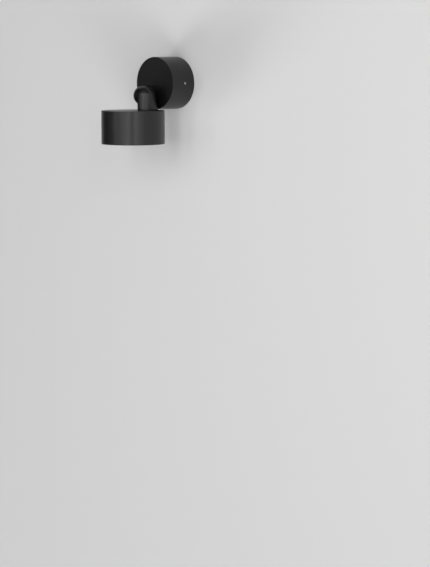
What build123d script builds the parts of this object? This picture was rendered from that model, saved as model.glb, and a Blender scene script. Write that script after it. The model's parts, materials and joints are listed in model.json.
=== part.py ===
from build123d import *
import os
from math import acos, atan2, cos, degrees, sqrt, tan

# A pivoting wall spotlight: a round canopy on the wall, a knuckle of two domed halves at its
# lower edge and a wider, short drum head that hangs from the knuckle and shines down.
#
# Millimetres. +Z is up, the wall is the plane y = 0, and the light stands out towards -Y.
# The origin is on the wall, on the axis of the canopy. The knuckle's split is the plane x = 0.

# ---------------------------------------------------------------- sizes

# canopy
canopy_diameter = 75.0
canopy_depth = 43.0
canopy_wall = 3.0
canopy_front = 3.5
edge_break = 0.5             # small bevel on the outer edges of the castings

# wall plate
plate_thickness = 1.5
plate_clearance = 0.3        # between the plate and the canopy, all round
tab_width = 16.0             # the plate's two bent tabs, which the grub screws pinch
tab_height = 22.0            # how far they stand off the wall
slot_inset = 9.2             # middle of each slot from the plate's edge
slot_length = 11.0
slot_width = 4.5
cable_hole_radius = 6.5
cable_bore_radius = 4.2
grommet_flange = 1.2         # how much wider than its hole a grommet's flange is
grommet_flange_height = 1.6
grub_distance = 18.0         # grub screws, from the wall
grub_radius = 2.0
grub_socket = 2.0            # across the flats of its hexagon
grub_socket_depth = 1.6

# driver and terminals on the plate
driver_width = 35.0
driver_height = 18.0
driver_depth = 19.0
driver_gap = 0.8             # between the driver and the cable grommet
driver_edge = 2.0
ear_width = 6.0
ear_height = 9.0
ear_thickness = 2.0
ear_level = 13.5
terminal_width = 27.0
terminal_height = 13.0
terminal_depth = 14.0
terminal_below = 11.0        # block screw below the terminal's middle
terminal_pitch = 8.5
terminal_bore = 2.2          # radius of its wire holes
terminal_bore_level = 4.9    # their height over the plate
terminal_well = 2.4          # radius of its screw wells
terminal_well_depth = 4.0
terminal_screw_length = 4.0
block_screw_inset = 4.0      # from the plate's edge
block_tab_margin = 0.6       # the block's tab beyond its screw's head
earth_gap = 7.5              # earth screw's middle from the terminal's side
earth_rise = 4.2             # and above the terminal's middle

# knuckle, two like castings
head_gap = 0.4               # the head's top below the canopy's lowest line
knuckle_radius = 14.1
knuckle_length = 19.8        # hinge axis to the foot of each half
foot_margin = 0.3            # between the leaning side's foot and the canopy's edge
stub_offset = 2.2            # axis of each stub from the split's middle plane
split_gap = 0.7              # between the two halves, filled by the bush's flange
gasket_thickness = 0.8
gasket_inset = 0.5
lead_hole_radius = 2.8
lead_hole_x = 9.3            # from the split's middle plane
foot_screw_x = 8.0           # two screws through each foot, from the split's middle plane
foot_screw_inset = 4.6       # from the foot's upright side
foot_screw_back_inset = 9.4  # from the foot's leaning side
foot_screw_radius = 2.0
foot_screw_grip = 8.0        # how far they reach into the foot

# hinge
tube_radius = 5.0
tube_bore = 3.0
tube_grip = 8.0              # end of the tube in the head half, from the split's middle plane
bush_wall = 1.0
bush_flange_radius = 13.0
counterbore_radius = 8.8
counterbore_floor = 6.3      # from the split's middle plane
washer_thickness = 0.8
washer_play = 0.4            # between the washer and the counterbore
spring_height = 1.1
spring_thickness = 0.4
spring_play = 0.9            # between the spring washer and the counterbore
nut_flats = 14.0
nut_height = 2.4
tube_end_stand = 0.4         # the tube's end beyond the nut
plug_skirt = 1.6
plug_wall = 1.4
pin_radius = 1.0
pin_circle = 9.3             # radius of the stop pin's path about the hinge axis
pin_reach = 2.0              # how far the pin stands into the head half
pin_grip = 4.0               # how far it is set in the wall half
tilt_range = 90.0            # degrees
groove_clearance = 0.15
running = 0.04               # radial clearance of turning fits
face_play = 0.03             # between faces that rub

# head
head_diameter = 90.4
head_height = 47.5
head_wall = 2.5
head_top = 3.5
head_margin = 2.9            # between the leaning side's foot and the head's rear edge

# inside the head, distances from its top face
boss_count = 3
boss_angle = 90.0            # degrees, of the first boss
boss_radius = 3.6
boss_inset = 5.2             # middle of each boss from the head's bore
boss_grip = 6.0              # how far the screws reach into the bosses
sink_level = 13.0
sink_play = 1.4              # between the heat sink and the head's bore
sink_thickness = 4.0
sink_skin = 1.0              # left under its blind holes
fin_height = 5.5
fin_thickness = 1.6
fin_pitch = 5.4
fin_gap = 2.9                # between the fins and the bosses
lead_slot_radius = 3.5
lead_slot_x = 21.0
board_radius = 14.0
board_thickness = 1.6
board_play = 0.3             # between the board and the holder round it
emitter_radius = 7.0
emitter_height = 0.8
emitter_slope = 0.6          # width of the slope round its edge
emitter_slope_height = 0.3
holder_radius = 17.5
holder_height = 4.0
holder_bore = 8.6
holder_lip = 1.2             # thickness of its lip on the board, at the bore
holder_ear_thickness = 2.0
holder_screw_circle = 20.5
holder_ear = 3.4
holder_step = 0.4            # the holder's bore under the reflector's throat, narrower by this
reflector_level = 40.6       # its lower edge
reflector_inset = 0.6        # its mouth inside the bezel's opening
reflector_throat = 9.8
reflector_wall = 0.8
reflector_bands = [(0.52, 0.27), (0.83, 0.62)]    # bends, as shares of its reach and its height
flange_inset = 0.2           # the reflector's flange and the seal inside the glass's edge
seal_height = 1.0
seal_width = 2.2
glass_lap = 2.2              # how far the bezel laps over the glass
glass_thickness = 3.0
bezel_play = 0.4             # between the bezel and the head's bore
bezel_width = 6.3
bezel_thickness = 1.8
bezel_bevel = 0.3            # on its outer edge
bezel_lip_slope = 1.0        # width of the slope round its opening
bezel_lip_height = 0.6       # its thickness at the opening
post_count = 3
post_angle = 30.0            # degrees, of the first post
post_radius = 2.2
post_inset = 2.1             # middle of each post from the head's bore
post_top = 19.0
post_play = 0.4              # between the posts and the heat sink
bezel_screw_radius = 0.9
bezel_screw_length = 5.0
bezel_hole_depth = 6.0
countersink_depth = 1.2
countersink_flare = 1.0      # how much wider it is than the screw
countersink_play = 0.15

# screws
m3_radius = 1.5
m3_head = 2.8
m3_head_height = 1.8
m4_head = 3.9
m4_head_height = 2.4
m4_radius = 2.0
screw_clearance = 0.2        # hole over screw, radial, where the screw only passes through
recess_radius = 0.9
lead_grommet_radius = 4.0    # grommet in the head's top
lead_bore_radius = 2.2
pan_rim = 0.45               # height of a pan head's straight rim, as a share of the head's
pan_crown = 0.62             # radius of its flat crown, as a share of the head's

over = 1.0                   # how far cutting tools run past a face

# ---------------------------------------------------------------- derived sizes

canopy_radius = canopy_diameter / 2
canopy_bore = canopy_radius - canopy_wall
plate_radius = canopy_bore - plate_clearance
canopy_inside = canopy_depth - canopy_front
slot_x = plate_radius - slot_inset
driver_level = cable_hole_radius + grommet_flange + driver_gap + driver_height / 2
block_screw_level = block_screw_inset - plate_radius
terminal_level = block_screw_level + terminal_below
earth_x = terminal_width / 2 + earth_gap
earth_level = terminal_level + earth_rise

foot_distance = knuckle_length + gasket_thickness
head_top_z = -(canopy_radius + head_gap)
pivot_y = -(canopy_depth + foot_distance)
pivot_z = head_top_z + foot_distance
split_face = split_gap / 2

# The leaning side is tangent to the dome and meets the foot's plane at foot_reach.
foot_reach = foot_distance - head_gap - foot_margin
foot_diagonal = sqrt(foot_reach ** 2 + knuckle_length ** 2)
knuckle_lean = acos(knuckle_radius / foot_diagonal) - atan2(knuckle_length, foot_reach)
foot_screw_front = foot_screw_inset - knuckle_radius
foot_screw_back = foot_reach - foot_screw_back_inset

head_radius = head_diameter / 2
head_forward = head_radius - foot_reach - head_margin        # its axis in front of the hinge axis
head_y = pivot_y - head_forward
head_bore = head_radius - head_wall
boss_circle = head_bore - boss_inset
post_circle = head_bore - post_inset
sink_radius = head_bore - sink_play
fin_field = boss_circle - boss_radius - fin_gap
bezel_outer = head_bore - bezel_play
bezel_inner = bezel_outer - bezel_width
glass_radius = bezel_inner + glass_lap
flange_radius = glass_radius - flange_inset
reflector_mouth = bezel_inner - reflector_inset
holder_level = sink_level + sink_thickness
emitter_level = holder_level + board_thickness
glass_level = reflector_level + seal_height
bezel_level = glass_level + glass_thickness
bezel_underside = bezel_level + bezel_thickness

MIN = (Align.CENTER, Align.CENTER, Align.MIN)
MAX = (Align.CENTER, Align.CENTER, Align.MAX)

# Frames: in each, local z runs along the piece's own axis.
OUT = Rotation(90, 0, 0)                                     # away from the wall, local y is up
HINGE = Rotation(0, 90, 0)                                   # towards +X
PIVOT = Pos(0, pivot_y, pivot_z)
HEAD = Pos(0, head_y, head_top_z) * Rotation(180, 0, 0)      # down from the head's top, y to front


# ---------------------------------------------------------------- helpers

def rod(radius, start, end):
    return Pos(0, 0, start) * Cylinder(radius, end - start, align=MIN)


def ring(outer, inner, start, end):
    return rod(outer, start, end) - rod(inner, start - over, end + over)


def turned(points):
    """Solid of revolution about local Z of an outline of (radius, height) points."""
    outline = Plane.XZ * make_face(Polyline(*points, close=True))
    return revolve(outline, Axis.Z)


def block(width, height, start, end):
    return Pos(0, 0, start) * Box(width, height, end - start, align=MIN)


def pan_screw(radius, width, height, length):
    """Pan head screw along +Z: its head, of radius width, rises from z = 0, its shank goes down."""
    rim = height * pan_rim
    head = turned([(0, 0), (width, 0), (width, rim), (width * pan_crown, height), (0, height)])
    shank = rod(radius, -length, 0)
    return head + shank - rod(recess_radius, rim, height + over)


def m3_screw(length):
    return pan_screw(m3_radius, m3_head, m3_head_height, length)


def m4_screw(length):
    return pan_screw(m4_radius, m4_head, m4_head_height, length)


def grommet(hole, bore, wall):
    """Rubber grommet in a wall from z = 0 to z = wall, with one flange on the wall's far side."""
    flange = hole + grommet_flange
    top = wall + grommet_flange_height
    round_off = grommet_flange_height / 3
    return turned([(bore, 0), (hole, 0), (hole, wall), (flange, wall), (flange, top - round_off),
                   (flange - round_off, top), (bore, top)])


# ---------------------------------------------------------------- wall plate and what it carries

def driver_ear_places():
    reach = driver_width / 2 + ear_width / 2
    return [Pos(side * reach, ear_level, plate_thickness + ear_thickness) for side in (-1, 1)]


def block_screw_place():
    return Pos(0, block_screw_level, plate_thickness)


def earth_place():
    return Pos(earth_x, earth_level, plate_thickness)


def make_wall_plate():
    rim = ring(plate_radius, plate_radius - plate_thickness, 0, tab_height)
    plate = rod(plate_radius, 0, plate_thickness) + (rim & block(canopy_diameter, tab_width, 0, tab_height))
    plate -= rod(cable_hole_radius, -over, plate_thickness + over)
    slot = extrude(SlotOverall(slot_length, slot_width), plate_thickness + 2 * over)
    for side in (-1, 1):
        plate -= Pos(side * slot_x, 0, -over) * slot
    for place in driver_ear_places() + [block_screw_place()]:
        plate -= place * rod(m3_radius, -ear_thickness - plate_thickness - over, over)
    plate -= earth_place() * rod(m4_radius, -plate_thickness - over, over)
    return OUT * plate


def make_cable_grommet():
    return OUT * grommet(cable_hole_radius, cable_bore_radius, plate_thickness)


def make_led_driver():
    top = plate_thickness + driver_depth
    case = Pos(0, driver_level, 0) * block(driver_width, driver_height, plate_thickness, top)
    case = fillet(case.edges().filter_by(Axis.Z), driver_edge)
    case = chamfer(case.faces().sort_by(Axis.Z)[-1].edges(), driver_edge / 2)
    span = driver_width + 2 * ear_width
    ears = Pos(0, ear_level, 0) * block(span, ear_height, plate_thickness,
                                        plate_thickness + ear_thickness)
    driver = case + fillet(ears.edges().filter_by(Axis.Z), driver_edge)
    for place in driver_ear_places():
        driver -= place * rod(m3_radius + screw_clearance, -ear_thickness - over, over)
    return OUT * driver


def make_driver_screws():
    length = ear_thickness + plate_thickness
    return [OUT * place * m3_screw(length) for place in driver_ear_places()]


def terminal_places():
    return [Pos(step * terminal_pitch, terminal_level, plate_thickness) for step in (-1, 0, 1)]


def make_terminal_block():
    body = Pos(0, terminal_level, 0) * block(terminal_width, terminal_height, plate_thickness,
                                             plate_thickness + terminal_depth)
    tail = terminal_below + m3_head
    tab = Pos(0, terminal_level - tail / 2, 0) * block(
        2 * (m3_head + block_tab_margin), tail, plate_thickness, plate_thickness + ear_thickness)
    body += tab
    for place in terminal_places():
        well = rod(terminal_well, terminal_depth - terminal_well_depth, terminal_depth + over)
        body -= place * well
        hole = Rotation(90, 0, 0) * Cylinder(terminal_bore, terminal_height + 2 * over)
        body -= place * Pos(0, 0, terminal_bore_level) * hole
        body -= place * rod(m3_radius, terminal_bore_level, terminal_depth)
    body -= block_screw_place() * rod(m3_radius + screw_clearance, -over, ear_thickness + over)
    return OUT * body


def make_terminal_screws():
    seat = terminal_depth - terminal_well_depth
    screw = rod(m3_radius, seat - terminal_screw_length, seat)
    head = rod(terminal_well - screw_clearance, seat, seat + m3_head_height)
    slot = Pos(0, 0, seat + m3_head_height / 2) * Box(2 * m3_head, recess_radius, over * 4, align=MIN)
    return [OUT * place * (screw + head - slot) for place in terminal_places()]


def make_block_screw():
    return OUT * block_screw_place() * Pos(0, 0, ear_thickness) * m3_screw(
        ear_thickness + plate_thickness)


def make_earth_screw():
    return OUT * earth_place() * m4_screw(plate_thickness)


# ---------------------------------------------------------------- canopy

def base_foot_frame():
    """Foot of the wall half: local z runs from its face into the half, away from the wall."""
    return Pos(0, -canopy_depth, pivot_z) * OUT


def foot_screw_points():
    """Screw places in a foot's own plane, (x, y) from the hinge axis, for the half at +X."""
    return [(foot_screw_x, foot_screw_front), (foot_screw_x, foot_screw_back)]


def base_screw_frames():
    """Screws of the wall half. It is turned over, so x and the lean both change side."""
    return [base_foot_frame() * Pos(-x, -y, 0) for x, y in foot_screw_points()]


def make_base_canopy():
    bevel = edge_break
    cup = turned([(canopy_bore, 0), (canopy_radius, 0), (canopy_radius, canopy_depth - bevel),
                  (canopy_radius - bevel, canopy_depth), (0, canopy_depth), (0, canopy_inside),
                  (canopy_bore - 2 * bevel, canopy_inside), (canopy_bore, canopy_inside - 2 * bevel)])
    cup = OUT * cup
    grub_hole = Pos(0, -grub_distance, 0) * HINGE * Cylinder(grub_radius, canopy_diameter + 2 * over)
    cup -= grub_hole
    for frame in base_screw_frames():
        cup -= frame * rod(foot_screw_radius + screw_clearance, -canopy_front - over, over)
    cup -= base_foot_frame() * Pos(-lead_hole_x, 0, 0) * rod(lead_hole_radius, -canopy_front - over,
                                                             over)
    return cup


def make_canopy_grub_screws():
    inner = plate_radius
    outer = canopy_radius - edge_break
    screw = rod(grub_radius - running, inner, outer)
    hexagon = RegularPolygon(grub_socket / 2, 6, major_radius=False)
    screw -= Pos(0, 0, outer - grub_socket_depth) * extrude(hexagon, grub_socket_depth + over)
    place = Pos(0, -grub_distance, 0)
    return [place * HINGE * screw, place * Rotation(0, -90, 0) * screw]


# ---------------------------------------------------------------- knuckle

def knuckle_outline(grow=0.0):
    """The stub without its cuts: a dome on an upright and a leaning cylinder of one radius.

    The hinge axis is X through the origin, the stub goes down and leans out towards +Y.
    """
    radius = knuckle_radius + grow
    below = knuckle_length + 2 * radius
    dome = Sphere(radius)
    upright = Cylinder(radius, below, align=MAX)
    leaning = Rotation(degrees(knuckle_lean), 0, 0) * Cylinder(radius, below / cos(knuckle_lean),
                                                               align=MAX)
    lean_out = below * tan(knuckle_lean)
    wedge = make_face(Polyline((0, 0), (0, -below), (lean_out, -below), close=True))
    filling = extrude(Plane.YZ * wedge, radius, both=True)
    return Pos(stub_offset, 0, 0) * (dome + upright + leaning + filling)


def slab(start, end, face):
    """Everything on the +X side of a face, between two heights."""
    size = 4 * (knuckle_radius + knuckle_length)
    return Pos(face + size / 2, 0, start) * Box(size, size, end - start, align=MIN)


def make_casting():
    top = 2 * knuckle_radius
    return knuckle_outline() & slab(-knuckle_length, top, split_face)


def foot_holes(casting):
    for x, y in foot_screw_points():
        casting -= Pos(x, y, -knuckle_length) * rod(foot_screw_radius, -over, foot_screw_grip + over)
    return casting - Pos(lead_hole_x, 0, 0) * rod(lead_hole_radius, -knuckle_length - over, 0)


def turned_over(shape):
    """The half at +X with its foot down, turned over to the half at -X with its foot at the wall."""
    return shape.rotate(Axis((0, 0, 0), (0, 1, -1)), 180)


def pin_place():
    """The stop pin stands towards the wall from the hinge axis, which is down in the casting."""
    return Pos(0, 0, -pin_circle)


def plug_seat():
    """Distance from the split's middle plane at which the dome is as wide as the counterbore."""
    return stub_offset + sqrt(knuckle_radius ** 2 - counterbore_radius ** 2)


def make_base_knuckle():
    half = foot_holes(make_casting())
    far = 2 * knuckle_radius
    half -= HINGE * rod(tube_radius + running + bush_wall, -over, counterbore_floor + over)
    half -= HINGE * rod(counterbore_radius, counterbore_floor, far)
    half -= pin_place() * HINGE * rod(pin_radius, -over, split_face + pin_grip)
    return PIVOT * turned_over(half)


def make_hinge_bush():
    bore = tube_radius + running
    rubbing = -split_face + face_play
    sleeve = rod(bore + bush_wall, rubbing, counterbore_floor)
    flange = rod(bush_flange_radius, rubbing, split_face)
    bush = HINGE * (sleeve + flange - rod(bore, -over, counterbore_floor + over))
    bush -= pin_place() * HINGE * rod(pin_radius, -over, over)
    return PIVOT * turned_over(bush)


def make_hinge_washer():
    washer = ring(counterbore_radius - washer_play, tube_radius + running, counterbore_floor,
                  counterbore_floor + washer_thickness)
    return PIVOT * turned_over(HINGE * washer)


def spring_level():
    return counterbore_floor + washer_thickness + face_play


def make_hinge_spring_washer():
    """A dished spring washer: a cone between the flat washer and the nut."""
    low = spring_level()
    high = low + spring_height
    inner = tube_radius
    outer = counterbore_radius - spring_play
    washer = turned([(inner, high - spring_thickness), (outer, low), (outer, low + spring_thickness),
                     (inner, high)])
    return PIVOT * turned_over(HINGE * washer)


def nut_level():
    return spring_level() + spring_height


def make_hinge_nut():
    hexagon = RegularPolygon(nut_flats / 2, 6, major_radius=False)
    nut = Pos(0, 0, nut_level()) * extrude(hexagon, nut_height)
    nut -= rod(tube_radius, nut_level() - over, nut_level() + nut_height + over)
    return PIVOT * turned_over(HINGE * nut)


def make_hinge_tube():
    end = nut_level() + nut_height + tube_end_stand
    return PIVOT * HINGE * ring(tube_radius, tube_bore, -end, tube_grip)


def make_tilt_stop_pin():
    pin = rod(pin_radius, -split_face - pin_reach, split_face + pin_grip)
    return PIVOT * turned_over(pin_place() * HINGE * pin)


def make_knuckle_plug():
    """Cap that carries the stub's outside on over the counterbore, with a skirt inside it."""
    radius = counterbore_radius - running
    low = plug_seat() - plug_skirt
    far = 2 * knuckle_radius
    cap = knuckle_outline() & HINGE * rod(radius, low, far)
    hollow = knuckle_outline(-plug_wall) & HINGE * rod(radius - plug_wall, low - over, far)
    return PIVOT * turned_over(cap - hollow)


def make_gasket():
    """Seal under a casting's foot, a little smaller than the foot."""
    sheet = knuckle_outline(-gasket_inset) & slab(-knuckle_length - gasket_thickness,
                                                  -knuckle_length, split_face + gasket_inset)
    for x, y in foot_screw_points():
        sheet -= Pos(x, y, -knuckle_length) * rod(foot_screw_radius + screw_clearance,
                                                  -gasket_thickness - over, over)
    return sheet - Pos(lead_hole_x, 0, -knuckle_length) * rod(lead_hole_radius,
                                                              -gasket_thickness - over, over)


def make_base_gasket():
    return PIVOT * turned_over(make_gasket())


def make_base_knuckle_screws():
    length = canopy_front + gasket_thickness + foot_screw_grip
    inward = Pos(0, 0, -canopy_front) * Rotation(180, 0, 0)
    return [frame * inward * m4_screw(length) for frame in base_screw_frames()]


def make_head_knuckle():
    half = foot_holes(make_casting())
    half -= HINGE * rod(tube_radius, 0, lead_hole_x + lead_hole_radius)
    path = CenterArc((0, 0), pin_circle, 0, tilt_range)
    groove = SlotArc(path, 2 * (pin_radius + groove_clearance))
    depth = pin_reach + split_face + groove_clearance
    half -= extrude(Plane.YZ * groove, depth)
    return PIVOT * half


# ---------------------------------------------------------------- head

def head_screw_frames():
    return [HEAD * Pos(x, -(y + head_forward), head_top) for x, y in foot_screw_points()]


def head_lead_place():
    return Pos(lead_hole_x, -head_forward, 0)


def polar_places(radius, count, level, first):
    step = 360.0 / count
    return [Rotation(0, 0, first + step * turn) * Pos(radius, 0, level) for turn in range(count)]


def sink_places(level):
    return polar_places(boss_circle, boss_count, level, boss_angle)


def bezel_places(level):
    return polar_places(post_circle, post_count, level, post_angle)


def make_head_housing():
    bevel = edge_break
    drum = turned([(0, 0), (head_radius - bevel, 0), (head_radius, bevel),
                   (head_radius, head_height - bevel), (head_radius - bevel, head_height),
                   (head_bore, head_height), (head_bore, head_top + 2 * bevel),
                   (head_bore - 2 * bevel, head_top), (0, head_top)])
    inside = rod(head_radius - head_wall / 2, head_top / 2, bezel_level)
    for place in sink_places(0):
        drum += place * rod(boss_radius, head_top / 2, sink_level)
        drum += (place * Pos(boss_radius, 0, 0) * block(2 * boss_radius, boss_radius, head_top / 2,
                                                        sink_level)) & inside
        drum -= place * rod(m3_radius, head_top + over, sink_level + over)
    for place in bezel_places(0):
        drum += (place * rod(post_radius, post_top, bezel_level)) & inside
        drum -= place * rod(bezel_screw_radius, bezel_level - bezel_hole_depth, bezel_level + over)
    for x, y in foot_screw_points():
        drum -= Pos(x, -(y + head_forward), 0) * rod(foot_screw_radius + screw_clearance, -over,
                                                     head_top + over)
    drum -= head_lead_place() * rod(lead_grommet_radius, -over, head_top + over)
    return HEAD * drum


def make_lead_grommet():
    return HEAD * head_lead_place() * grommet(lead_grommet_radius, lead_bore_radius, head_top)


def make_head_gasket():
    return PIVOT * make_gasket()


def make_head_knuckle_screws():
    length = head_top + gasket_thickness + foot_screw_grip
    return [frame * m4_screw(length) for frame in head_screw_frames()]


def make_heat_sink():
    sink = rod(sink_radius, sink_level, sink_level + sink_thickness)
    reach = int(fin_field / fin_pitch)
    field = rod(fin_field, sink_level - fin_height, sink_level + over)
    for step in range(-reach, reach + 1):
        fin = Pos(step * fin_pitch, 0, 0) * block(fin_thickness, 2 * fin_field,
                                                  sink_level - fin_height, sink_level + over)
        sink += fin & field
    for place in sink_places(0):
        sink -= place * rod(m3_radius + screw_clearance, sink_level - over, holder_level + over)
    for place in bezel_places(0):
        sink -= place * rod(post_radius + post_play, sink_level - over, holder_level + over)
    for place in holder_places(0):
        sink -= place * rod(m3_radius, sink_level + sink_skin, holder_level + over)
    sink -= Pos(lead_slot_x, 0, 0) * rod(lead_slot_radius, sink_level - fin_height - over,
                                         holder_level + over)
    return HEAD * sink


def make_heat_sink_screws():
    length = sink_thickness + boss_grip
    return [HEAD * place * m3_screw(length) for place in sink_places(holder_level)]


def make_led_board():
    return HEAD * rod(board_radius, holder_level, emitter_level)


def make_led_emitter():
    crown = emitter_level + emitter_height
    return HEAD * turned([(0, emitter_level), (emitter_radius, emitter_level),
                          (emitter_radius, crown - emitter_slope_height),
                          (emitter_radius - emitter_slope, crown), (0, crown)])


def holder_places(level):
    return polar_places(holder_screw_circle, 2, level, boss_angle)


def make_led_holder():
    """Moulded ring over the board: a skirt round it, a lip on it and two ears on the heat sink."""
    low = holder_level
    high = holder_level + holder_height
    lip = emitter_level
    bore = board_radius + board_play
    holder = turned([(bore, low), (holder_radius, low), (holder_radius, high - edge_break),
                     (holder_radius - edge_break, high), (reflector_throat - holder_step, high),
                     (holder_bore, lip + holder_lip), (holder_bore, lip), (bore, lip)])
    board_space = rod(bore, low - over, high)
    for place in holder_places(0):
        ear = rod(holder_ear, low, low + holder_ear_thickness)
        web = Pos(-holder_ear, 0, 0) * block(2 * holder_ear, 2 * holder_ear, low,
                                             low + holder_ear_thickness)
        holder += place * (ear + web) - board_space
    for place in holder_places(0):
        holder -= place * rod(m3_radius + screw_clearance, low - over, high + over)
    return HEAD * holder


def make_holder_screws():
    length = holder_ear_thickness + sink_thickness - sink_skin
    return [HEAD * place * m3_screw(length) for place in
            holder_places(holder_level + holder_ear_thickness)]


def make_reflector():
    """Spun bowl in three steepening bands, from the holder to the mouth, with a flat flange."""
    top = holder_level + holder_height
    low = reflector_level
    wall = reflector_wall
    reach = reflector_mouth - reflector_throat
    bends = [(reflector_throat + reach * across, top + (low - top) * down)
             for across, down in reflector_bands]
    behind = [(radius + wall, level - wall / 2) for radius, level in reversed(bends)]
    return HEAD * turned([(reflector_throat, top), *bends, (reflector_mouth, low),
                          (flange_radius, low), (flange_radius, low - wall),
                          (reflector_mouth + wall, low - wall), *behind,
                          (reflector_throat + wall, top)])


def make_glass_seal():
    return HEAD * ring(flange_radius, flange_radius - seal_width, reflector_level, glass_level)


def make_cover_glass():
    return HEAD * rod(glass_radius, glass_level, bezel_level)


def make_bezel_ring():
    low = bezel_level
    high = bezel_underside
    bezel = turned([(bezel_inner, low), (bezel_outer, low), (bezel_outer, high - bezel_bevel),
                    (bezel_outer - bezel_bevel, high), (bezel_inner + bezel_lip_slope, high),
                    (bezel_inner, low + bezel_lip_height)])
    hole = bezel_screw_radius + screw_clearance
    flare = bezel_screw_radius + countersink_flare
    cutter = turned([(0, low - over), (hole, low - over), (hole, high - countersink_depth),
                     (flare, high), (flare, high + over), (0, high + over)])
    for place in bezel_places(0):
        bezel -= place * cutter
    return HEAD * bezel


def make_bezel_screws():
    high = bezel_underside
    end = bezel_level - bezel_screw_length
    neck = high - countersink_depth + countersink_play
    screw = turned([(0, end), (bezel_screw_radius, end), (bezel_screw_radius, neck),
                    (bezel_screw_radius + countersink_flare - countersink_play, high), (0, high)])
    return [HEAD * place * screw for place in bezel_places(0)]


# ---------------------------------------------------------------- all pieces

PIECES = {
    "wall_plate": make_wall_plate,
    "cable_grommet": make_cable_grommet,
    "led_driver": make_led_driver,
    "driver_screws": make_driver_screws,
    "terminal_block": make_terminal_block,
    "terminal_screws": make_terminal_screws,
    "block_screw": make_block_screw,
    "earth_screw": make_earth_screw,
    "base_canopy": make_base_canopy,
    "canopy_grub_screws": make_canopy_grub_screws,
    "base_gasket": make_base_gasket,
    "base_knuckle": make_base_knuckle,
    "base_knuckle_screws": make_base_knuckle_screws,
    "hinge_bush": make_hinge_bush,
    "hinge_washer": make_hinge_washer,
    "tilt_stop_pin": make_tilt_stop_pin,
    "knuckle_plug": make_knuckle_plug,
    "head_knuckle": make_head_knuckle,
    "hinge_tube": make_hinge_tube,
    "hinge_spring_washer": make_hinge_spring_washer,
    "hinge_nut": make_hinge_nut,
    "head_gasket": make_head_gasket,
    "head_knuckle_screws": make_head_knuckle_screws,
    "lead_grommet": make_lead_grommet,
    "head_housing": make_head_housing,
    "heat_sink": make_heat_sink,
    "heat_sink_screws": make_heat_sink_screws,
    "led_board": make_led_board,
    "led_emitter": make_led_emitter,
    "led_holder": make_led_holder,
    "holder_screws": make_holder_screws,
    "reflector": make_reflector,
    "glass_seal": make_glass_seal,
    "cover_glass": make_cover_glass,
    "bezel_ring": make_bezel_ring,
    "bezel_screws": make_bezel_screws,
}

os.makedirs("parts", exist_ok=True)
for name, make in PIECES.items():
    made = make()
    piece = Compound(children=made) if isinstance(made, list) else made
    piece.label = name
    export_step(piece, os.path.join("parts", name + ".step"))
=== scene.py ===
import json
from math import acos, asin, atan2, cos, pi, radians, sin, sqrt, tan

import bmesh
import bpy
from mathutils import Matrix, Vector


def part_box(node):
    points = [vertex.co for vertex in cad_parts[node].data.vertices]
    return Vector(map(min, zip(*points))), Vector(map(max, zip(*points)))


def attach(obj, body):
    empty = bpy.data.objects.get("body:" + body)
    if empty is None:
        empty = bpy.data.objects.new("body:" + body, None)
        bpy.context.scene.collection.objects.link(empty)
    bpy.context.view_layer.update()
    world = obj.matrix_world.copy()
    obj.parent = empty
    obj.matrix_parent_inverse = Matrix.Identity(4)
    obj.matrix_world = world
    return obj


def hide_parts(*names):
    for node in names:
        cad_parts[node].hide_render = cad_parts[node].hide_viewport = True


# A pivoting wall spotlight, dressed for its portrait. Metres, in the frame of the CAD model:
# +Z is up, the wall is the plane y = 0 and the light stands out towards -Y.

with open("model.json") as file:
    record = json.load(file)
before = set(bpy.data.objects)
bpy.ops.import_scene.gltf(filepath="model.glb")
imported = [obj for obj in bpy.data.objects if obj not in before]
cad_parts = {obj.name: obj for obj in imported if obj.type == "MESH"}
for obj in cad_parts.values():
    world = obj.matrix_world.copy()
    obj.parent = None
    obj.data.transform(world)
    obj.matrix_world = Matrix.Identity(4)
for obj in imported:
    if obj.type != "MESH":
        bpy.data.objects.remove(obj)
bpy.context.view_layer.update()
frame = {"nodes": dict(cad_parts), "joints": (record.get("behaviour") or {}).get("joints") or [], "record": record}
nodes = frame["nodes"]
scene = bpy.context.scene
mm = 0.001

# ---------------------------------------------------------------- places taken from the frame

canopy_low, canopy_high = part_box("base_canopy")
canopy_radius = canopy_high[0]
canopy_depth = -canopy_low[1]
grub_low, grub_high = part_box("canopy_grub_screws")
grub_radius = (grub_high[2] - grub_low[2]) / 2
grub_reach = grub_high[0]
grub_y = (grub_high[1] + grub_low[1]) / 2

pivot = Vector(frame["joints"][0]["pos_m"])
knuckle_low, knuckle_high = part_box("head_knuckle")
knuckle_radius = pivot.y - knuckle_low[1]
knuckle_length = pivot.z - knuckle_low[2]
foot_reach = knuckle_high[1] - pivot.y
split_face = knuckle_low[0]
stub_offset = knuckle_high[0] - knuckle_radius
plug_low, plug_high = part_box("knuckle_plug")
plug_radius = (plug_high[2] - plug_low[2]) / 2
plug_inner_x = plug_high[0]

head_low, head_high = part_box("head_housing")
head_radius = head_high[0]
head_height = head_high[2] - head_low[2]
head_y = head_low[1] + head_radius
bezel_low, bezel_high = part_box("bezel_ring")
bezel_radius = bezel_high[0]
bezel_start = head_high[2] - bezel_high[2]       # distances from the head's top
bezel_end = head_high[2] - bezel_low[2]
reflector_low, reflector_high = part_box("reflector")
flange_radius = reflector_high[0]
throat_level = head_high[2] - reflector_high[2]
mouth_level = head_high[2] - reflector_low[2]
emitter_level = head_high[2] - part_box("led_emitter")[1][2]

# Frames: local z runs away from the wall, or down from the head's top with y to the front.
OUT = Matrix.Rotation(pi / 2, 4, "X")
HEAD = Matrix.Translation((0.0, head_y, head_high[2])) @ Matrix.Rotation(pi, 4, "X")
PIVOT = Matrix.Translation(pivot)
ALONG_X = Matrix.Rotation(pi / 2, 4, "Y")
AGAINST_X = Matrix.Rotation(-pi / 2, 4, "Y")
TURNED_OVER = Matrix.Rotation(pi, 4, Vector((0.0, 1.0, -1.0)).normalized())

# ---------------------------------------------------------------- sizes that the frame doesn't give

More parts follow.
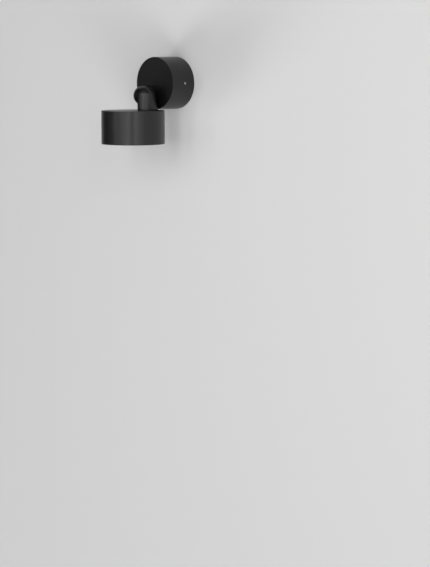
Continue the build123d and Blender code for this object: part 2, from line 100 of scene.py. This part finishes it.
canopy_wall = 3.0 * mm
canopy_front = 3.5 * mm
head_wall = 2.5 * mm
head_top = 3.5 * mm
casting_edge = 0.5 * mm              # rounding of the drums' edges
knuckle_edge = 0.3 * mm
trim_edge = 0.15 * mm                # of the plug and the bezel
edge_segments = 3                    # steps across a rounded edge
crease_angle = radians(32)           # faces that meet at more than this have an edge
counterbore_floor = 6.3 * mm         # where the hinge's counterbore ends, left of the pivot
hole_play = 0.06 * mm                # holes are this much larger in radius than what they hold
overshoot = 1.0 * mm                 # cutting shapes reach this far outside the piece
grub_length = 3.4 * mm
grub_rim = 0.35 * mm                 # chamfer round the end
grub_socket = 1.15 * mm              # radius over the hexagon's corners
grub_socket_depth = 1.6 * mm
boss_circle = 37.5 * mm              # bosses for the heat sink; levels run down from the top
boss_radius = 3.6 * mm
boss_end = 13.0 * mm
boss_angle = 90.0                    # of the first one, in degrees
post_circle = 40.6 * mm              # posts for the bezel's screws
post_radius = 2.2 * mm
post_start = 19.0 * mm
post_angle = 30.0
fixing_count = 3                     # bosses, posts and bezel screws
bezel_opening = 36.0 * mm
bezel_lip = 0.6 * mm                 # upright part of the opening's side, above the slope
bezel_slope = 1.0 * mm
screw_radius = 0.9 * mm              # countersunk screws of the bezel
screw_length = 5.0 * mm              # past the bezel
screw_head = 1.75 * mm
screw_cone = 1.05 * mm
screw_socket = 0.75 * mm             # radius over the hexagon's corners
screw_socket_depth = 0.7 * mm
socket_sides = 6
reflector_throat = 9.8 * mm
reflector_mouth = 35.4 * mm
reflector_wall = 0.8 * mm
reflector_facets = 36                # round the bowl
reflector_rows = 9
dam_radius = 7.6 * mm                # white dam round the emitter's phosphor
dam_height = 1.0 * mm
dam_width = 0.9 * mm
dam_rows = 10                        # over its rounding

# Steps round a full turn, more for a larger circle.
head_steps = 224
canopy_steps = 192
plug_steps = 96
ring_steps = 64
screw_steps = 48
post_steps = 32
arch_steps = 64                      # over the knuckle's top
dome_rows = 32                       # from the knuckle's split to its end
point_digits = 5                     # points that agree to these digits of a millimetre are one

# ---------------------------------------------------------------- camera and studio

camera_azimuth = radians(46.24)      # towards +X from straight in front of the wall
camera_elevation = radians(1.13)
camera_distance = 2.6                # from the centre of the canopy's front
camera_heading = radians(44.33)      # the light stands in the upper left of the frame
camera_tilt = radians(-7.49)
lens_mm = 114.1
frame_mm = 36.0                      # long side of the frame that the lens is stated for
nearest_view = 0.05
farthest_view = 50.0

wall_gap = 0.2 * mm                  # the backdrop stands this far behind the wall plane
wall_steps = 96                      # round its opening
floor_z = -4.6                       # the light hangs well above the floor
backdrop_reach = 8.0
wall_colour = (0.64, 0.64, 0.64)
floor_colour = (0.60, 0.60, 0.59)
stage_roughness = 0.85
ambient_colour = (0.8, 0.8, 0.8)
ambient_strength = 0.02

close_by = 2.4                       # distances of the soft lights
far_off = 4.8
# Name, azimuth and elevation in degrees, width, height, power in watts, distance.
soft_lights = (
    ("strip_far_left", -45.0, 10.0, 0.38, 1.5, 0.7, close_by),
    ("strip_left", -18.0, 8.0, 0.38, 1.4, 5.2, close_by),
    ("strip_middle", 0.0, 10.0, 0.38, 1.5, 2.9, close_by),
    ("strip_near_middle", 9.0, 10.0, 0.38, 1.5, 6.0, close_by),
    ("strip_front", 27.0, 10.0, 0.38, 1.5, 12.8, close_by),
    ("strip_right", 54.0, 10.0, 0.38, 1.5, 9.0, close_by),
    ("wide_right", 72.0, 0.0, 1.2, 2.4, 9.8, close_by),
    ("high", 20.0, 50.0, 2.6, 1.5, 4.8, close_by),
    ("low_left", -60.0, -38.0, 3.0, 1.6, 104.0, far_off),
    ("low_middle", 20.0, -40.0, 5.2, 3.0, 50.0, far_off),
    ("low_right", 60.0, -38.0, 3.0, 1.6, 66.0, far_off),
    ("behind_wall", 170.0, 20.0, 1.2, 1.2, 30.0, close_by),
)


def direction(azimuth, elevation):
    """Unit vector away from the wall at azimuth 0, which turns towards +X as the azimuth grows."""
    return Vector((sin(azimuth) * cos(elevation), -cos(azimuth) * cos(elevation), sin(elevation)))


def place_camera():
    data = bpy.data.cameras.new("camera")
    data.lens = lens_mm
    data.sensor_width = frame_mm
    data.clip_start = nearest_view
    data.clip_end = farthest_view
    camera = bpy.data.objects.new("camera", data)
    scene.collection.objects.link(camera)
    away = direction(camera_azimuth, camera_elevation)
    camera.location = Vector((0.0, -canopy_depth, 0.0)) + away * camera_distance
    camera.rotation_euler = (pi / 2 + camera_tilt, 0.0, camera_heading)
    scene.camera = camera


def add_soft_light(name, azimuth, elevation, width, height, power, distance):
    """A rectangular soft light that faces the canopy's front; the camera doesn't see it."""
    data = bpy.data.lights.new(name, "AREA")
    data.shape = "RECTANGLE"
    data.size = width
    data.size_y = height
    data.energy = power
    light = bpy.data.objects.new(name, data)
    light.visible_camera = False
    scene.collection.objects.link(light)
    away = direction(radians(azimuth), radians(elevation))
    light.location = Vector((0.0, -canopy_depth, pivot.z)) + away * distance
    light.rotation_euler = (-away).to_track_quat("-Z", "Y").to_euler()


def light_studio():
    """Soft strips round the front, a little from above, fills from high and low, one behind."""
    for soft_light in soft_lights:
        add_soft_light(*soft_light)
    light_world()
    scene.view_settings.view_transform = "Standard"


def light_world():
    """Dim for the surfaces, and pale where the view runs past the wall and the floor."""
    world = bpy.data.worlds.new("studio")
    world.use_nodes = True
    tree = world.node_tree
    dim = tree.nodes["Background"]
    dim.inputs["Color"].default_value = (*ambient_colour, 1.0)
    dim.inputs["Strength"].default_value = ambient_strength
    pale = tree.nodes.new("ShaderNodeBackground")
    pale.inputs["Color"].default_value = (*wall_colour, 1.0)
    path = tree.nodes.new("ShaderNodeLightPath")
    mix = tree.nodes.new("ShaderNodeMixShader")
    tree.links.new(path.outputs["Is Camera Ray"], mix.inputs[0])
    tree.links.new(dim.outputs[0], mix.inputs[1])
    tree.links.new(pale.outputs[0], mix.inputs[2])
    tree.links.new(mix.outputs[0], tree.nodes["World Output"].inputs["Surface"])
    scene.world = world


# ---------------------------------------------------------------- materials

pattern_low = 0.3                    # a pattern's values run from about here
pattern_high = 0.7                   # to about here
metal_streaks = 500.0                # pattern scales are in waves to the metre

# Darkest and lightest colour, smoothest and roughest, and the steel's own finer streaks.
metals = {
    "brass": ((0.62, 0.44, 0.18), (0.72, 0.54, 0.26), 0.22, 0.36),
    "bare_aluminium": ((0.60, 0.61, 0.62), (0.70, 0.71, 0.72), 0.34, 0.48),
    "reflector_aluminium": ((0.84, 0.84, 0.84), (0.90, 0.90, 0.90), 0.20, 0.28),
    "steel": ((0.50, 0.50, 0.50), (0.66, 0.66, 0.65), 0.22, 0.36, 900.0),
}
mouldings = {
    "black_rubber": ((0.012, 0.012, 0.012), (0.02, 0.02, 0.02), 0.6, 0.75),
    "white_plastic": ((0.66, 0.66, 0.64), (0.74, 0.74, 0.72), 0.38, 0.5),
    "clear_nylon": ((0.58, 0.57, 0.52), (0.66, 0.65, 0.60), 0.35, 0.45),
    "acetal": ((0.02, 0.02, 0.02), (0.03, 0.03, 0.03), 0.35, 0.45),
    "solder_mask": ((0.76, 0.76, 0.74), (0.82, 0.82, 0.80), 0.22, 0.32),
    "silicone": ((0.60, 0.60, 0.58), (0.68, 0.68, 0.66), 0.45, 0.6),
}


class Finish:
    """A material with a Principled shader, and short calls for the nodes that feed it."""

    def __init__(self, name):
        self.material = bpy.data.materials.new(name)
        self.material.use_nodes = True
        self.tree = self.material.node_tree
        self.shader = self.tree.nodes["Principled BSDF"]

    def link(self, source, target):
        self.tree.links.new(source, target)

    def set(self, **values):
        for key, value in values.items():
            self.shader.inputs[key.replace("_", " ")].default_value = value

    def place(self):
        """Coordinates in metres that stay on the piece as it moves."""
        return self.tree.nodes.new("ShaderNodeTexCoord").outputs["Object"]

    def noise(self, scale, detail=2.0, roughness=0.5):
        made = self.tree.nodes.new("ShaderNodeTexNoise")
        made.inputs["Scale"].default_value = scale
        made.inputs["Detail"].default_value = detail
        made.inputs["Roughness"].default_value = roughness
        self.link(self.place(), made.inputs["Vector"])
        return made.outputs["Fac"]

    def cells(self, scale):
        made = self.tree.nodes.new("ShaderNodeTexVoronoi")
        made.inputs["Scale"].default_value = scale
        self.link(self.place(), made.inputs["Vector"])
        return made.outputs["Distance"]

    def tint(self, value, dark, light):
        ramp = self.tree.nodes.new("ShaderNodeValToRGB")
        low, high = ramp.color_ramp.elements
        low.position, high.position = pattern_low, pattern_high
        low.color = (*dark, 1.0)
        high.color = (*light, 1.0)
        self.link(value, ramp.inputs["Fac"])
        self.link(ramp.outputs["Color"], self.shader.inputs["Base Color"])

    def rough(self, value, low, high):
        made = self.tree.nodes.new("ShaderNodeMapRange")
        made.inputs["From Min"].default_value = pattern_low
        made.inputs["From Max"].default_value = pattern_high
        made.inputs["To Min"].default_value = low
        made.inputs["To Max"].default_value = high
        self.link(value, made.inputs["Value"])
        self.link(made.outputs["Result"], self.shader.inputs["Roughness"])

    def bump(self, height, strength, distance):
        made = self.tree.nodes.new("ShaderNodeBump")
        made.inputs["Strength"].default_value = strength
        made.inputs["Distance"].default_value = distance
        self.link(height, made.inputs["Height"])
        self.link(made.outputs["Normal"], self.shader.inputs["Normal"])


def powder_coat():
    """Matt black fine-texture powder coat: an even grain of about 0.4 mm."""
    finish = Finish("powder_black")
    grain = finish.noise(scale=2600.0, detail=3.0, roughness=0.6)
    clouds = finish.noise(scale=60.0)
    finish.tint(clouds, dark=(0.0036, 0.0036, 0.0037), light=(0.0046, 0.0046, 0.0047))
    finish.rough(grain, low=0.30, high=0.42)
    finish.bump(grain, strength=0.22, distance=0.12 * mm)
    return finish.material


def metal(name, dark, light, low, high, scale=metal_streaks):
    finish = Finish(name)
    streaks = finish.noise(scale, detail=4.0)
    finish.tint(streaks, dark, light)
    finish.rough(streaks, low, high)
    finish.set(Metallic=1.0)
    return finish.material


def zinc_plate():
    """Galvanised sheet with its pattern of crystals."""
    finish = Finish("galvanised")
    finish.tint(finish.cells(scale=260.0), dark=(0.42, 0.43, 0.45), light=(0.60, 0.61, 0.62))
    finish.rough(finish.noise(scale=400.0), low=0.32, high=0.46)
    finish.set(Metallic=1.0)
    return finish.material


def moulded(name, dark, light, low, high):
    """Plastic or rubber with a faint moulded grain."""
    finish = Finish(name)
    grain = finish.noise(scale=1400.0)
    finish.tint(finish.noise(scale=70.0), dark, light)
    finish.rough(grain, low, high)
    finish.bump(grain, strength=0.12, distance=0.1 * mm)
    return finish.material


def phosphor():
    """The yellow emitter, which glows faintly."""
    finish = Finish("phosphor")
    grain = finish.noise(scale=1200.0)
    finish.tint(grain, dark=(0.80, 0.62, 0.20), light=(0.92, 0.76, 0.32))
    finish.rough(grain, low=0.30, high=0.40)
    finish.set(Emission_Color=(1.0, 0.88, 0.70, 1.0), Emission_Strength=1.5)
    return finish.material


def clear_glass():
    finish = Finish("clear_glass")
    finish.set(Base_Color=(0.97, 0.985, 0.98, 1.0), Transmission_Weight=1.0, IOR=1.5)
    finish.rough(finish.noise(scale=120.0), low=0.0, high=0.02)
    return finish.material


def make_materials():
    """The material of each slot, by the slot's name."""
    made = {"powder_black": powder_coat(), "galvanised": zinc_plate(), "phosphor": phosphor(),
            "clear_glass": clear_glass()}
    for name, look in metals.items():
        made[name] = metal(name, *look)
    for name, look in mouldings.items():
        made[name] = moulded(name, *look)
    return made


def finish_nodes():
    """Every CAD node shown gets the finish of its material slot."""
    for part in frame["record"]["subparts"]:
        mesh = nodes[part["node"]].data
        mesh.materials.clear()
        mesh.materials.append(materials[part["material_slot"]])


# ---------------------------------------------------------------- mesh helpers

def turned(outline, steps):
    """Surface of revolution about local Z of an outline of (radius, height) points.

    The outline runs from the axis back to the axis, or else it is a closed loop.
    """
    shape = bmesh.new()
    turns = [2 * pi * step / steps for step in range(steps)]
    rings = []
    for radius, height in outline:
        if radius == 0.0:
            rings.append([shape.verts.new((0.0, 0.0, height))] * steps)
        else:
            rings.append([shape.verts.new((radius * cos(turn), radius * sin(turn), height))
                          for turn in turns])
    if outline[0][0] > 0.0:
        rings.append(rings[0])
    for ring, following in zip(rings, rings[1:]):
        for step in range(steps):
            after = (step + 1) % steps
            corners = [ring[step], ring[after], following[after], following[step]]
            shape.faces.new(list(dict.fromkeys(corners)))
    bmesh.ops.recalc_face_normals(shape, faces=shape.faces)
    return shape


def rod(radius, start, end, steps):
    """A closed cylinder along local Z."""
    return turned([(0.0, start), (radius, start), (radius, end), (0.0, end)], steps)


def placed(shape, *places):
    """Copies of a shape at one or more places, as one shape."""
    held = bpy.data.meshes.new("held")
    whole = bmesh.new()
    for place in places:
        copy = shape.copy()
        copy.transform(place)
        copy.to_mesh(held)
        whole.from_mesh(held)
        copy.free()
    bpy.data.meshes.remove(held)
    shape.free()
    return whole


def joined(*shapes):
    """Several shapes as one."""
    held = bpy.data.meshes.new("held")
    whole = bmesh.new()
    for shape in shapes:
        shape.to_mesh(held)
        whole.from_mesh(held)
        shape.free()
    bpy.data.meshes.remove(held)
    return whole


def around(radius, first_angle, count=fixing_count):
    """Evenly spaced places on a circle about local Z; the angle is in degrees."""
    return [Matrix.Rotation(radians(first_angle + 360.0 * step / count), 4, "Z")
            @ Matrix.Translation((radius, 0.0, 0.0)) for step in range(count)]


def as_object(name, shape):
    mesh = bpy.data.meshes.new(name)
    shape.to_mesh(mesh)
    shape.free()
    made = bpy.data.objects.new(name, mesh)
    scene.collection.objects.link(made)
    return made


def cut(piece, shape, operation="DIFFERENCE"):
    """Cuts a piece with a closed shape, or keeps only what lies inside that shape."""
    cutter = as_object("cutter", shape)
    modifier = piece.modifiers.new("cut", "BOOLEAN")
    modifier.operation = operation
    modifier.solver = "EXACT"
    modifier.object = cutter
    before = piece.data
    evaluated = piece.evaluated_get(bpy.context.evaluated_depsgraph_get())
    after = bpy.data.meshes.new_from_object(evaluated)
    piece.modifiers.remove(modifier)
    piece.data = after
    bpy.data.meshes.remove(before)
    bpy.data.objects.remove(cutter)


def dress(piece, body, slot, stands_for, edge=0.0):
    """Gives a piece its body, its finish and its edges, in place of a CAD node if it has one."""
    piece.data.materials.clear()
    piece.data.materials.append(materials[slot])
    piece.data.shade_smooth()
    if edge:
        bevel = piece.modifiers.new("edges", "BEVEL")
        bevel.width = edge
        bevel.segments = edge_segments
        bevel.limit_method = "ANGLE"
        bevel.angle_limit = crease_angle
        bevel.harden_normals = True
    else:
        piece.data.set_sharp_from_angle(angle=crease_angle)
    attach(piece, body)
    if stands_for:
        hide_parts(stands_for)


# ---------------------------------------------------------------- canopy

def build_canopy():
    """A cup with a hole for a grub screw on each side."""
    bore = canopy_radius - canopy_wall
    inside = canopy_depth - canopy_front
    cup = turned([(0.0, canopy_depth), (canopy_radius, canopy_depth), (canopy_radius, 0.0),
                  (bore, 0.0), (bore, inside), (0.0, inside)], canopy_steps)
    piece = as_object("canopy", placed(cup, OUT))
    hole = rod(grub_radius + hole_play, -2 * canopy_radius, 2 * canopy_radius, ring_steps)
    cut(piece, placed(hole, Matrix.Translation((0.0, grub_y, 0.0)) @ ALONG_X))
    dress(piece, "base", "powder_black", "base_canopy", casting_edge)


def build_grub_screws():
    """Two socket set screws, with a chamfered rim round the hexagon."""
    inner_end = grub_reach - grub_length
    screw = turned([(0.0, grub_reach), (grub_radius - grub_rim, grub_reach),
                    (grub_radius, grub_reach - grub_rim), (grub_radius, inner_end),
                    (0.0, inner_end)], screw_steps)
    socket = rod(grub_socket, grub_reach - grub_socket_depth, grub_reach + overshoot, socket_sides)
    middle = Matrix.Translation((0.0, grub_y, 0.0))
    sides = (middle @ ALONG_X, middle @ AGAINST_X)
    piece = as_object("grub_screws", placed(screw, *sides))
    cut(piece, placed(socket, *sides))
    dress(piece, "base", "steel", "canopy_grub_screws")


# ---------------------------------------------------------------- knuckle

def knuckle_lean():
    """The leaning side is tangent to the dome and meets the foot's plane at foot_reach."""
    diagonal = sqrt(foot_reach ** 2 + knuckle_length ** 2)
    return acos(knuckle_radius / diagonal) - atan2(knuckle_length, foot_reach)


def arch(radius):
    """Section of the stub square to the hinge axis, as (y, z) from foot to foot over the top."""
    lean = knuckle_lean()
    turns = [pi - (pi - lean) * step / arch_steps for step in range(arch_steps + 1)]
    over = [(radius * cos(turn), radius * sin(turn)) for turn in turns]
    back_foot = radius / cos(lean) + knuckle_length * tan(lean)
    return [(-radius, -knuckle_length), *over, (back_foot, -knuckle_length)]


def half_knuckle():
    """The half at +X with its foot down, about the pivot: a dome on an upright and a leaning side."""
    shape = bmesh.new()
    first = asin((split_face - stub_offset) / knuckle_radius)
    slices = []
    for row in range(dome_rows + 1):
        latitude = first + (pi / 2 - first) * row / dome_rows
        x = stub_offset + knuckle_radius * sin(latitude)
        points = {}
        section = []
        for y, z in arch(knuckle_radius * cos(latitude)):
            key = (round(y / mm, point_digits), round(z / mm, point_digits))
            if key not in points:
                points[key] = shape.verts.new((x, y, z))
            section.append(points[key])
        slices.append(section)
    for near, far in zip(slices, slices[1:]):
        for left, right in zip(range(len(near)), range(1, len(near))):
            corners = list(dict.fromkeys([near[left], near[right], far[right], far[left]]))
            if len(corners) > 2:
                shape.faces.new(corners)
    shape.faces.new(list(dict.fromkeys(slices[-1])))
    shape.faces.new(slices[0])
    fronts = [section[0] for section in slices]
    backs = [section[-1] for section in slices]
    shape.faces.new(fronts + backs[::-1])
    bmesh.ops.recalc_face_normals(shape, faces=shape.faces)
    return shape


def build_knuckle():
    """The head's half, the wall's half, which is the same turned over, and the cap in its side."""
    head_half = as_object("knuckle_head_half", placed(half_knuckle(), PIVOT))
    dress(head_half, "head", "powder_black", "head_knuckle", knuckle_edge)

    wall_half = as_object("knuckle_wall_half", placed(half_knuckle(), PIVOT @ TURNED_OVER))
    bore = rod(plug_radius + hole_play, -2 * knuckle_radius, -counterbore_floor, plug_steps)
    cut(wall_half, placed(bore, PIVOT @ ALONG_X))
    dress(wall_half, "base", "powder_black", "base_knuckle", knuckle_edge)

    cap = as_object("knuckle_cap", placed(half_knuckle(), PIVOT @ TURNED_OVER))
    body = rod(plug_radius, -2 * knuckle_radius, plug_inner_x, plug_steps)
    cut(cap, placed(body, PIVOT @ ALONG_X), "INTERSECT")
    dress(cap, "base", "powder_black", "knuckle_plug", trim_edge)


# ---------------------------------------------------------------- head

def build_head():
    """The drum, open below, with the bosses and the posts inside."""
    bore = head_radius - head_wall
    drum = turned([(0.0, 0.0), (head_radius, 0.0), (head_radius, head_height), (bore, head_height),
                   (bore, head_top), (0.0, head_top)], head_steps)
    bosses = placed(rod(boss_radius, head_top / 2, boss_end, post_steps),
                    *around(boss_circle, boss_angle))
    posts = placed(rod(post_radius, post_start, bezel_start, post_steps),
                   *around(post_circle, post_angle))
    piece = as_object("head_drum", placed(joined(drum, bosses, posts), HEAD))
    dress(piece, "head", "powder_black", "head_housing", casting_edge)


def build_bezel():
    """The ring that holds the glass, and its countersunk screws."""
    ring = turned([(bezel_opening, bezel_start), (bezel_radius, bezel_start), (bezel_radius, bezel_end),
                   (bezel_opening + bezel_slope, bezel_end),
                   (bezel_opening, bezel_start + bezel_lip)], canopy_steps)
    piece = as_object("bezel", placed(ring, HEAD))
    cone_start = bezel_end - screw_cone
    hole = screw_radius + hole_play
    sink = screw_head + hole_play
    seat = turned([(0.0, bezel_start - overshoot), (hole, bezel_start - overshoot),
                   (hole, cone_start), (sink, bezel_end),
                   (sink, bezel_end + overshoot), (0.0, bezel_end + overshoot)], screw_steps)
    places = [HEAD @ place for place in around(post_circle, post_angle)]
    cut(piece, placed(seat, *places))
    dress(piece, "head", "powder_black", "bezel_ring", trim_edge)

    tip = bezel_start - screw_length
    screw = turned([(0.0, bezel_end), (screw_head, bezel_end), (screw_radius, cone_start),
                    (screw_radius, tip), (0.0, tip)], screw_steps)
    screws = as_object("bezel_screw_set", placed(screw, *places))
    socket = rod(screw_socket, bezel_end - screw_socket_depth, bezel_end + overshoot, socket_sides)
    cut(screws, placed(socket, *places))
    dress(screws, "head", "steel", "bezel_screws")


def build_reflector():
    """A bowl that widens as a parabola, pressed in flat facets, with a flat flange at its mouth."""
    reach = reflector_mouth - reflector_throat
    depth = mouth_level - throat_level
    shares = [row / reflector_rows for row in range(reflector_rows + 1)]
    bowl = [(reflector_throat + reach * share, throat_level + depth * share ** 2) for share in shares]
    behind = [(radius + reflector_wall, level - reflector_wall / 2) for radius, level in bowl[1:-1]]
    flange_back = mouth_level - reflector_wall
    outline = [*bowl, (flange_radius, mouth_level), (flange_radius, flange_back),
               (reflector_mouth + reflector_wall, flange_back), *behind[::-1],
               (reflector_throat + reflector_wall, throat_level)]
    piece = as_object("reflector_bowl", placed(turned(outline, reflector_facets), HEAD))
    dress(piece, "head", "reflector_aluminium", "reflector")
    piece.data.shade_flat()


def build_emitter_dam():
    """The white dam that holds the phosphor, a rounded ring on the board."""
    turns = [pi * row / dam_rows for row in range(dam_rows + 1)]
    section = [(dam_radius + dam_width / 2 * cos(turn), emitter_level + dam_height * sin(turn))
               for turn in turns]
    piece = as_object("emitter_dam", placed(turned(section, ring_steps), HEAD))
    dress(piece, "head", "silicone", None)


# ---------------------------------------------------------------- stage

def stage_material(name, colour):
    """A plain pale matt surface."""
    finish = Finish(name)
    finish.set(Base_Color=(*colour, 1.0), Roughness=stage_roughness)
    return finish


def see_through_from_behind(finish):
    """Shows a sheet's front only, so that it doesn't hide what stands before it from behind."""
    tree = finish.tree
    clear = tree.nodes.new("ShaderNodeBsdfTransparent")
    mix = tree.nodes.new("ShaderNodeMixShader")
    side = tree.nodes.new("ShaderNodeNewGeometry")
    finish.link(side.outputs["Backfacing"], mix.inputs[0])
    finish.link(finish.shader.outputs[0], mix.inputs[1])
    finish.link(clear.outputs[0], mix.inputs[2])
    finish.link(mix.outputs[0], tree.nodes["Material Output"].inputs["Surface"])


def build_wall():
    """A pale wall with an opening that the canopy covers; from behind it is see-through."""
    opening = canopy_radius - 2 * casting_edge
    turns = [2 * pi * (step + 0.5) / wall_steps for step in range(wall_steps)]
    shape = bmesh.new()
    inner = []
    outer = []
    for turn in turns:
        across, up = cos(turn), sin(turn)
        inner.append(shape.verts.new((opening * across, wall_gap, opening * up)))
        stretch = backdrop_reach / max(abs(across), abs(up))
        low = max(stretch * up, floor_z)
        outer.append(shape.verts.new((stretch * across, wall_gap, low)))
    for step in range(wall_steps):
        after = (step + 1) % wall_steps
        shape.faces.new([outer[step], outer[after], inner[after], inner[step]])
    wall = as_object("backdrop", shape)
    finish = stage_material("pale_wall", wall_colour)
    see_through_from_behind(finish)
    wall.data.materials.append(finish.material)


def build_floor():
    """A square floor, far below the light."""
    shape = bmesh.new()
    reach = 2 * backdrop_reach
    corners = [(-reach, -reach), (reach, -reach), (reach, reach), (-reach, reach)]
    shape.faces.new([shape.verts.new((x, y, floor_z)) for x, y in corners])
    floor = as_object("floor", shape)
    floor.data.materials.append(stage_material("pale_floor", floor_colour).material)


# ---------------------------------------------------------------- run

materials = make_materials()
finish_nodes()
build_canopy()
build_grub_screws()
build_knuckle()
build_head()
build_bezel()
build_reflector()
build_emitter_dam()
build_wall()
build_floor()
place_camera()
light_studio()
